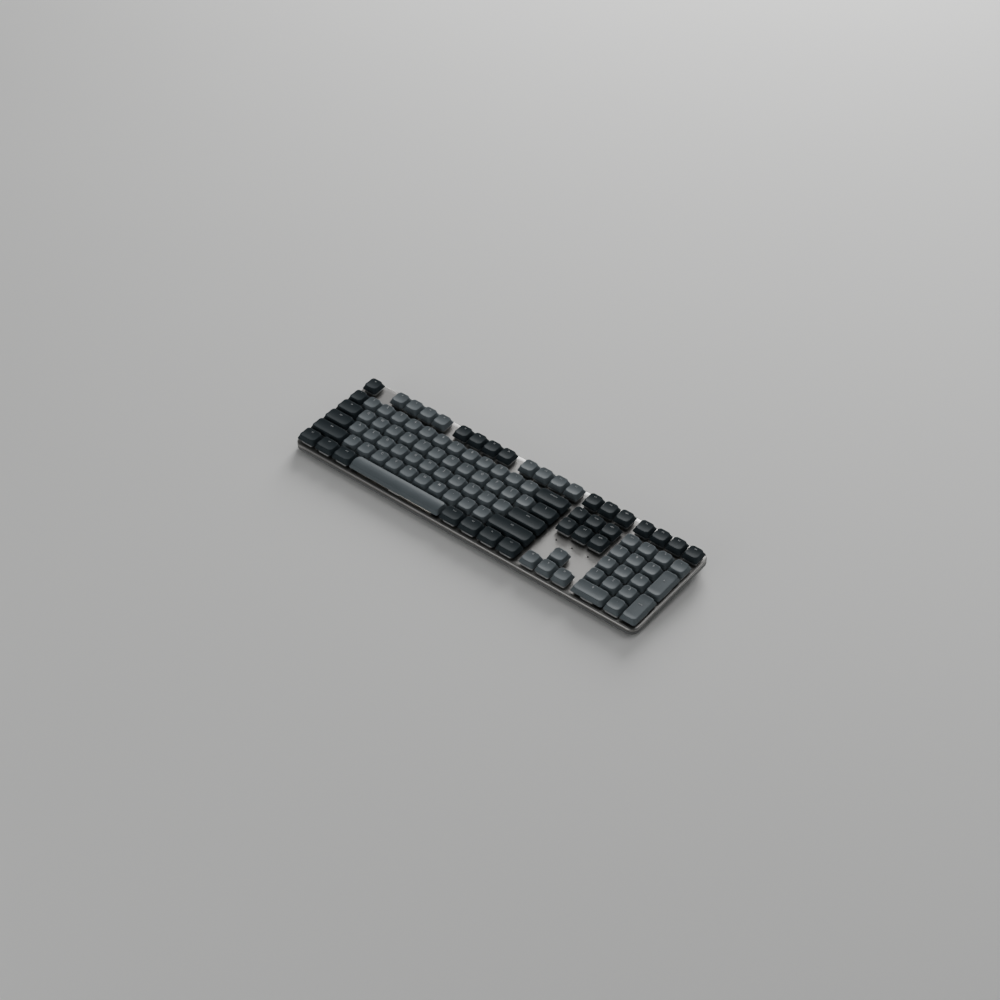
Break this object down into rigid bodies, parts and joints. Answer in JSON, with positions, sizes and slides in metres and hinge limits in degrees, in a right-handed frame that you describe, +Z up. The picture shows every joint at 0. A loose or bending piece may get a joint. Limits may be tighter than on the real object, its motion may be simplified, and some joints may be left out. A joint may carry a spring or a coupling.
{
  "type": "mechanical keyboard",
  "caption": "Low full-size keyboard: slim wedge case, metal top plate, floating dished keycaps on switches, number pad, fold-out rear feet.",
  "frame": {"origin": "middle of the footprint, on the surface the keyboard stands on, with the rear feet folded", "axes": "+X to the typist's right along the keyboard, +Y away from the typist, +Z up"},
  "size_m": [0.4318, 0.131, 0.026],
  "materials": {
    "anodised_aluminium": "bead-blasted and anodised, satin, warm mid grey",
    "case_plastic": "moulded ABS, fine spark-eroded grain, dark warm grey",
    "keycap_grey": "moulded PBT keycap, fine grain, mid grey",
    "keycap_dark": "moulded PBT keycap, fine grain, dark slate grey",
    "switch_plastic": "moulded nylon housing with a clear upper flange",
    "circuit_board": "dark solder mask over glass-fibre laminate",
    "light_pipe": "frosted polycarbonate light guide",
    "battery_foil": "foil pouch cell",
    "plated_steel": "nickel-plated steel shell",
    "spring_steel": "drawn steel wire and pins",
    "black_plastic": "moulded glass-filled nylon",
    "rubber": "moulded silicone rubber"
  },
  "bodies": {
    "root": {"top_plate": "anodised_aluminium", "bottom_case": "case_plastic", "switch_housings": "switch_plastic", "circuit_board": "circuit_board", "status_light_guide": "light_pipe", "battery_pack": "battery_foil", "radio_module": "plated_steel", "usb_c_socket": "plated_steel", "power_switch_body": "black_plastic", "front_left_pad": "rubber", "front_right_pad": "rubber", "rear_left_pad": "rubber", "rear_right_pad": "rubber", "left_foot_pin": "spring_steel", "right_foot_pin": "spring_steel"},
    "power_slider": {"power_slider": "black_plastic"},
    "space_bar_stabiliser": {"space_bar_stabiliser_wire": "spring_steel"},
    "left_foot": {"left_tilt_foot": "case_plastic", "left_foot_tip": "rubber"},
    "right_foot": {"right_tilt_foot": "case_plastic", "right_foot_tip": "rubber"},
    "esc_key": {"esc_keycap": "keycap_dark"},
    "f1_to_f4_keys": {"f1_to_f4_keycaps": "keycap_grey"},
    "f5_to_f8_keys": {"f5_to_f8_keycaps": "keycap_dark"},
    "f9_to_f12_keys": {"f9_to_f12_keycaps": "keycap_grey"},
    "system_keys": {"system_keycaps": "keycap_dark"},
    "media_keys": {"media_keycaps": "keycap_dark"},
    "grave_key": {"grave_keycap": "keycap_dark"},
    "number_row_keys": {"number_row_keycaps": "keycap_grey"},
    "backspace_key": {"backspace_keycap": "keycap_dark"},
    "tab_key": {"tab_keycap": "keycap_dark"},
    "q_row_keys": {"q_row_keycaps": "keycap_grey"},
    "backslash_key": {"backslash_keycap": "keycap_dark"},
    "caps_lock_key": {"caps_lock_keycap": "keycap_dark"},
    "a_row_keys": {"a_row_keycaps": "keycap_grey"},
    "enter_key": {"enter_keycap": "keycap_dark"},
    "left_shift_key": {"left_shift_keycap": "keycap_dark"},
    "z_row_keys": {"z_row_keycaps": "keycap_grey"},
    "right_shift_key": {"right_shift_keycap": "keycap_dark"},
    "left_ctrl_key": {"left_ctrl_keycap": "keycap_dark"},
    "left_option_key": {"left_option_keycap": "keycap_dark"},
    "left_command_key": {"left_command_keycap": "keycap_dark"},
    "space_bar_key": {"space_bar_keycap": "keycap_grey"},
    "right_command_key": {"right_command_keycap": "keycap_dark"},
    "right_option_key": {"right_option_keycap": "keycap_dark"},
    "fn_key": {"fn_keycap": "keycap_dark"},
    "right_ctrl_key": {"right_ctrl_keycap": "keycap_dark"},
    "page_block_keys": {"page_block_keycaps": "keycap_dark"},
    "up_arrow_key": {"up_arrow_keycap": "keycap_grey"},
    "left_arrow_key": {"left_arrow_keycap": "keycap_grey"},
    "down_arrow_key": {"down_arrow_keycap": "keycap_grey"},
    "right_arrow_key": {"right_arrow_keycap": "keycap_grey"},
    "numpad_top_keys": {"numpad_top_keycaps": "keycap_grey"},
    "numpad_7_to_9_keys": {"numpad_7_to_9_keycaps": "keycap_grey"},
    "numpad_4_to_6_keys": {"numpad_4_to_6_keycaps": "keycap_grey"},
    "numpad_1_to_3_keys": {"numpad_1_to_3_keycaps": "keycap_grey"},
    "numpad_zero_key": {"numpad_zero_keycap": "keycap_grey"},
    "numpad_point_key": {"numpad_point_keycap": "keycap_grey"},
    "numpad_plus_key": {"numpad_plus_keycap": "keycap_grey"},
    "numpad_enter_key": {"numpad_enter_keycap": "keycap_grey"}
  },
  "joints": [
    {"name": "left_foot_fold", "type": "hinge", "parent": "root", "child": "left_foot", "pos_m": [-0.155, 0.0529, 0.0038], "axis": [1, 0, 0], "range_deg": [0, 100]},
    {"name": "right_foot_fold", "type": "hinge", "parent": "root", "child": "right_foot", "pos_m": [0.155, 0.0529, 0.0038], "axis": [1, 0, 0], "range_deg": [0, 100]},
    {"name": "power_slide", "type": "slide", "parent": "root", "child": "power_slider", "axis": [1, 0, 0], "range_m": [0, 0.003]},
    {"name": "space_bar_stabiliser_turn", "type": "hinge", "parent": "root", "child": "space_bar_stabiliser", "pos_m": [-0.08334, -0.06003, 0.01162], "axis": [-1, 0, 0], "range_deg": [0, 26]},
    {"name": "esc_key_press", "type": "slide", "parent": "root", "child": "esc_key", "axis": [0, 0.0523, -0.9986], "range_m": [0, 0.0032], "stiffness_N_per_m": 90, "springref_m": -0.004},
    {"name": "f1_to_f4_keys_press", "type": "slide", "parent": "root", "child": "f1_to_f4_keys", "axis": [0, 0.0523, -0.9986], "range_m": [0, 0.0032], "stiffness_N_per_m": 360, "springref_m": -0.004},
    {"name": "f5_to_f8_keys_press", "type": "slide", "parent": "root", "child": "f5_to_f8_keys", "axis": [0, 0.0523, -0.9986], "range_m": [0, 0.0032], "stiffness_N_per_m": 360, "springref_m": -0.004},
    {"name": "f9_to_f12_keys_press", "type": "slide", "parent": "root", "child": "f9_to_f12_keys", "axis": [0, 0.0523, -0.9986], "range_m": [0, 0.0032], "stiffness_N_per_m": 360, "springref_m": -0.004},
    {"name": "system_keys_press", "type": "slide", "parent": "root", "child": "system_keys", "axis": [0, 0.0523, -0.9986], "range_m": [0, 0.0032], "stiffness_N_per_m": 270, "springref_m": -0.004},
    {"name": "media_keys_press", "type": "slide", "parent": "root", "child": "media_keys", "axis": [0, 0.0523, -0.9986], "range_m": [0, 0.0032], "stiffness_N_per_m": 360, "springref_m": -0.004},
    {"name": "grave_key_press", "type": "slide", "parent": "root", "child": "grave_key", "axis": [0, 0.0523, -0.9986], "range_m": [0, 0.0032], "stiffness_N_per_m": 90, "springref_m": -0.004},
    {"name": "number_row_keys_press", "type": "slide", "parent": "root", "child": "number_row_keys", "axis": [0, 0.0523, -0.9986], "range_m": [0, 0.0032], "stiffness_N_per_m": 1080, "springref_m": -0.004},
    {"name": "backspace_key_press", "type": "slide", "parent": "root", "child": "backspace_key", "axis": [0, 0.0523, -0.9986], "range_m": [0, 0.0032], "stiffness_N_per_m": 90, "springref_m": -0.004},
    {"name": "tab_key_press", "type": "slide", "parent": "root", "child": "tab_key", "axis": [0, 0.0523, -0.9986], "range_m": [0, 0.0032], "stiffness_N_per_m": 90, "springref_m": -0.004},
    {"name": "q_row_keys_press", "type": "slide", "parent": "root", "child": "q_row_keys", "axis": [0, 0.0523, -0.9986], "range_m": [0, 0.0032], "stiffness_N_per_m": 1080, "springref_m": -0.004},
    {"name": "backslash_key_press", "type": "slide", "parent": "root", "child": "backslash_key", "axis": [0, 0.0523, -0.9986], "range_m": [0, 0.0032], "stiffness_N_per_m": 90, "springref_m": -0.004},
    {"name": "caps_lock_key_press", "type": "slide", "parent": "root", "child": "caps_lock_key", "axis": [0, 0.0523, -0.9986], "range_m": [0, 0.0032], "stiffness_N_per_m": 90, "springref_m": -0.004},
    {"name": "a_row_keys_press", "type": "slide", "parent": "root", "child": "a_row_keys", "axis": [0, 0.0523, -0.9986], "range_m": [0, 0.0032], "stiffness_N_per_m": 990, "springref_m": -0.004},
    {"name": "enter_key_press", "type": "slide", "parent": "root", "child": "enter_key", "axis": [0, 0.0523, -0.9986], "range_m": [0, 0.0032], "stiffness_N_per_m": 90, "springref_m": -0.004},
    {"name": "left_shift_key_press", "type": "slide", "parent": "root", "child": "left_shift_key", "axis": [0, 0.0523, -0.9986], "range_m": [0, 0.0032], "stiffness_N_per_m": 90, "springref_m": -0.004},
    {"name": "z_row_keys_press", "type": "slide", "parent": "root", "child": "z_row_keys", "axis": [0, 0.0523, -0.9986], "range_m": [0, 0.0032], "stiffness_N_per_m": 900, "springref_m": -0.004},
    {"name": "right_shift_key_press", "type": "slide", "parent": "root", "child": "right_shift_key", "axis": [0, 0.0523, -0.9986], "range_m": [0, 0.0032], "stiffness_N_per_m": 90, "springref_m": -0.004},
    {"name": "left_ctrl_key_press", "type": "slide", "parent": "root", "child": "left_ctrl_key", "axis": [0, 0.0523, -0.9986], "range_m": [0, 0.0032], "stiffness_N_per_m": 90, "springref_m": -0.004},
    {"name": "left_option_key_press", "type": "slide", "parent": "root", "child": "left_option_key", "axis": [0, 0.0523, -0.9986], "range_m": [0, 0.0032], "stiffness_N_per_m": 90, "springref_m": -0.004},
    {"name": "left_command_key_press", "type": "slide", "parent": "root", "child": "left_command_key", "axis": [0, 0.0523, -0.9986], "range_m": [0, 0.0032], "stiffness_N_per_m": 90, "springref_m": -0.004},
    {"name": "space_bar_key_press", "type": "slide", "parent": "root", "child": "space_bar_key", "axis": [0, 0.0523, -0.9986], "range_m": [0, 0.0032], "stiffness_N_per_m": 90, "springref_m": -0.004},
    {"name": "right_command_key_press", "type": "slide", "parent": "root", "child": "right_command_key", "axis": [0, 0.0523, -0.9986], "range_m": [0, 0.0032], "stiffness_N_per_m": 90, "springref_m": -0.004},
    {"name": "right_option_key_press", "type": "slide", "parent": "root", "child": "right_option_key", "axis": [0, 0.0523, -0.9986], "range_m": [0, 0.0032], "stiffness_N_per_m": 90, "springref_m": -0.004},
    {"name": "fn_key_press", "type": "slide", "parent": "root", "child": "fn_key", "axis": [0, 0.0523, -0.9986], "range_m": [0, 0.0032], "stiffness_N_per_m": 90, "springref_m": -0.004},
    {"name": "right_ctrl_key_press", "type": "slide", "parent": "root", "child": "right_ctrl_key", "axis": [0, 0.0523, -0.9986], "range_m": [0, 0.0032], "stiffness_N_per_m": 90, "springref_m": -0.004},
    {"name": "page_block_keys_press", "type": "slide", "parent": "root", "child": "page_block_keys", "axis": [0, 0.0523, -0.9986], "range_m": [0, 0.0032], "stiffness_N_per_m": 540, "springref_m": -0.004},
    {"name": "up_arrow_key_press", "type": "slide", "parent": "root", "child": "up_arrow_key", "axis": [0, 0.0523, -0.9986], "range_m": [0, 0.0032], "stiffness_N_per_m": 90, "springref_m": -0.004},
    {"name": "left_arrow_key_press", "type": "slide", "parent": "root", "child": "left_arrow_key", "axis": [0, 0.0523, -0.9986], "range_m": [0, 0.0032], "stiffness_N_per_m": 90, "springref_m": -0.004},
    {"name": "down_arrow_key_press", "type": "slide", "parent": "root", "child": "down_arrow_key", "axis": [0, 0.0523, -0.9986], "range_m": [0, 0.0032], "stiffness_N_per_m": 90, "springref_m": -0.004},
    {"name": "right_arrow_key_press", "type": "slide", "parent": "root", "child": "right_arrow_key", "axis": [0, 0.0523, -0.9986], "range_m": [0, 0.0032], "stiffness_N_per_m": 90, "springref_m": -0.004},
    {"name": "numpad_top_keys_press", "type": "slide", "parent": "root", "child": "numpad_top_keys", "axis": [0, 0.0523, -0.9986], "range_m": [0, 0.0032], "stiffness_N_per_m": 360, "springref_m": -0.004},
    {"name": "numpad_7_to_9_keys_press", "type": "slide", "parent": "root", "child": "numpad_7_to_9_keys", "axis": [0, 0.0523, -0.9986], "range_m": [0, 0.0032], "stiffness_N_per_m": 270, "springref_m": -0.004},
    {"name": "numpad_4_to_6_keys_press", "type": "slide", "parent": "root", "child": "numpad_4_to_6_keys", "axis": [0, 0.0523, -0.9986], "range_m": [0, 0.0032], "stiffness_N_per_m": 270, "springref_m": -0.004},
    {"name": "numpad_1_to_3_keys_press", "type": "slide", "parent": "root", "child": "numpad_1_to_3_keys", "axis": [0, 0.0523, -0.9986], "range_m": [0, 0.0032], "stiffness_N_per_m": 270, "springref_m": -0.004},
    {"name": "numpad_zero_key_press", "type": "slide", "parent": "root", "child": "numpad_zero_key", "axis": [0, 0.0523, -0.9986], "range_m": [0, 0.0032], "stiffness_N_per_m": 90, "springref_m": -0.004},
    {"name": "numpad_point_key_press", "type": "slide", "parent": "root", "child": "numpad_point_key", "axis": [0, 0.0523, -0.9986], "range_m": [0, 0.0032], "stiffness_N_per_m": 90, "springref_m": -0.004},
    {"name": "numpad_plus_key_press", "type": "slide", "parent": "root", "child": "numpad_plus_key", "axis": [0, 0.0523, -0.9986], "range_m": [0, 0.0032], "stiffness_N_per_m": 90, "springref_m": -0.004},
    {"name": "numpad_enter_key_press", "type": "slide", "parent": "root", "child": "numpad_enter_key", "axis": [0, 0.0523, -0.9986], "range_m": [0, 0.0032], "stiffness_N_per_m": 90, "springref_m": -0.004}
  ],
  "couplings": [
    {"joint": "space_bar_stabiliser_turn", "follows": "space_bar_key_press", "rad_per_m": 137.75}
  ]
}
